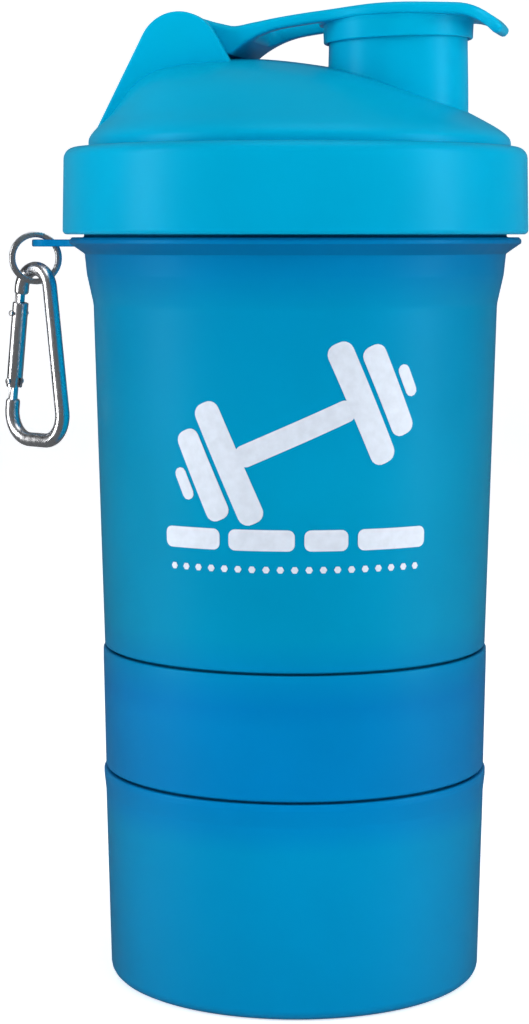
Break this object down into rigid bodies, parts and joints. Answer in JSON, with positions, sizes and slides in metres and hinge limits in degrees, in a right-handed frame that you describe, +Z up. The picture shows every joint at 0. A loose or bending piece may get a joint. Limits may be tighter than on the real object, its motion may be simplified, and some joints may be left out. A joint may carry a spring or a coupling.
{
  "type": "protein shaker bottle",
  "caption": "Mixing cup with a screw-on domed lid, hinged flip cap and strainer, screw-on storage compartments below, and a carabiner on a split ring.",
  "frame": {"origin": "centre of the flat base, on the surface the bottle stands on", "axes": "+Z up along the bottle's axis, +X towards the drinking spout, the cap's hinge and the carry tab towards -X"},
  "size_m": [0.1193, 0.102, 0.2136],
  "materials": {
    "lid_plastic": "satin moulded polypropylene, bright cyan blue",
    "cup_plastic": "frosted, slightly translucent polypropylene, blue",
    "organizer_plastic": "frosted natural polypropylene",
    "chrome_steel": "polished nickel-plated wire",
    "clip_metal": "polished aluminium"
  },
  "bodies": {
    "bottom": {"bottom_compartment": "cup_plastic"},
    "tray": {"organizer_tray": "organizer_plastic"},
    "middle": {"middle_compartment": "cup_plastic"},
    "cover": {"organizer_cover": "organizer_plastic"},
    "cup": {"shaker_cup": "cup_plastic"},
    "strainer": {"strainer": "lid_plastic"},
    "lid": {"lid": "lid_plastic"},
    "cap": {"flip_cap": "lid_plastic"},
    "ring": {"split_ring": "chrome_steel"},
    "clip": {"carabiner_body": "clip_metal", "gate_rivet": "chrome_steel"},
    "gate": {"carabiner_gate": "clip_metal", "gate_latch_pin": "chrome_steel", "gate_spring": "chrome_steel", "gate_plunger": "chrome_steel"}
  },
  "joints": [
    {"name": "middle_lift", "type": "slide", "parent": "bottom", "child": "tray", "axis": [0, 0, 1], "range_m": [0, 0.00361]},
    {"name": "middle_turn", "type": "hinge", "parent": "tray", "child": "middle", "pos_m": [0, 0, 0.06], "axis": [0, 0, 1], "range_deg": [0, 360]},
    {"name": "cup_lift", "type": "slide", "parent": "middle", "child": "cover", "axis": [0, 0, 1], "range_m": [0, 0.00361]},
    {"name": "cup_turn", "type": "hinge", "parent": "cover", "child": "cup", "pos_m": [0, 0, 0.12], "axis": [0, 0, 1], "range_deg": [0, 360]},
    {"name": "lid_lift", "type": "slide", "parent": "cup", "child": "strainer", "axis": [0, 0, 1], "range_m": [0, 0.00626]},
    {"name": "lid_turn", "type": "hinge", "parent": "strainer", "child": "lid", "pos_m": [0, 0, 0.175], "axis": [0, 0, 1], "range_deg": [0, 450]},
    {"name": "cap_hinge", "type": "hinge", "parent": "lid", "child": "cap", "pos_m": [-0.023, 0, 0.207], "axis": [0, -1, 0], "range_deg": [0, 120]},
    {"name": "ring_swing", "type": "hinge", "parent": "cup", "child": "ring", "pos_m": [-0.056, 0, 0.1632], "axis": [0.9063, 0.4226, 0], "range_deg": [-12, 12]},
    {"name": "clip_swing", "type": "hinge", "parent": "ring", "child": "clip", "pos_m": [-0.05931, -0.00154, 0.1546], "axis": [0.9063, 0.4226, 0], "range_deg": [-25, 25]},
    {"name": "gate_hinge", "type": "hinge", "parent": "clip", "child": "gate", "pos_m": [-0.0659, 0.00242, 0.1319], "axis": [0.515, 0.8572, 0], "range_deg": [0, 22], "stiffness_Nm_per_rad": 0.02, "springref_deg": -34.38}
  ],
  "couplings": [
    {"joint": "middle_lift", "follows": "middle_turn", "m_per_rad": 0.00057296},
    {"joint": "cup_lift", "follows": "cup_turn", "m_per_rad": 0.00057296},
    {"joint": "lid_lift", "follows": "lid_turn", "m_per_rad": 0.00079577}
  ]
}
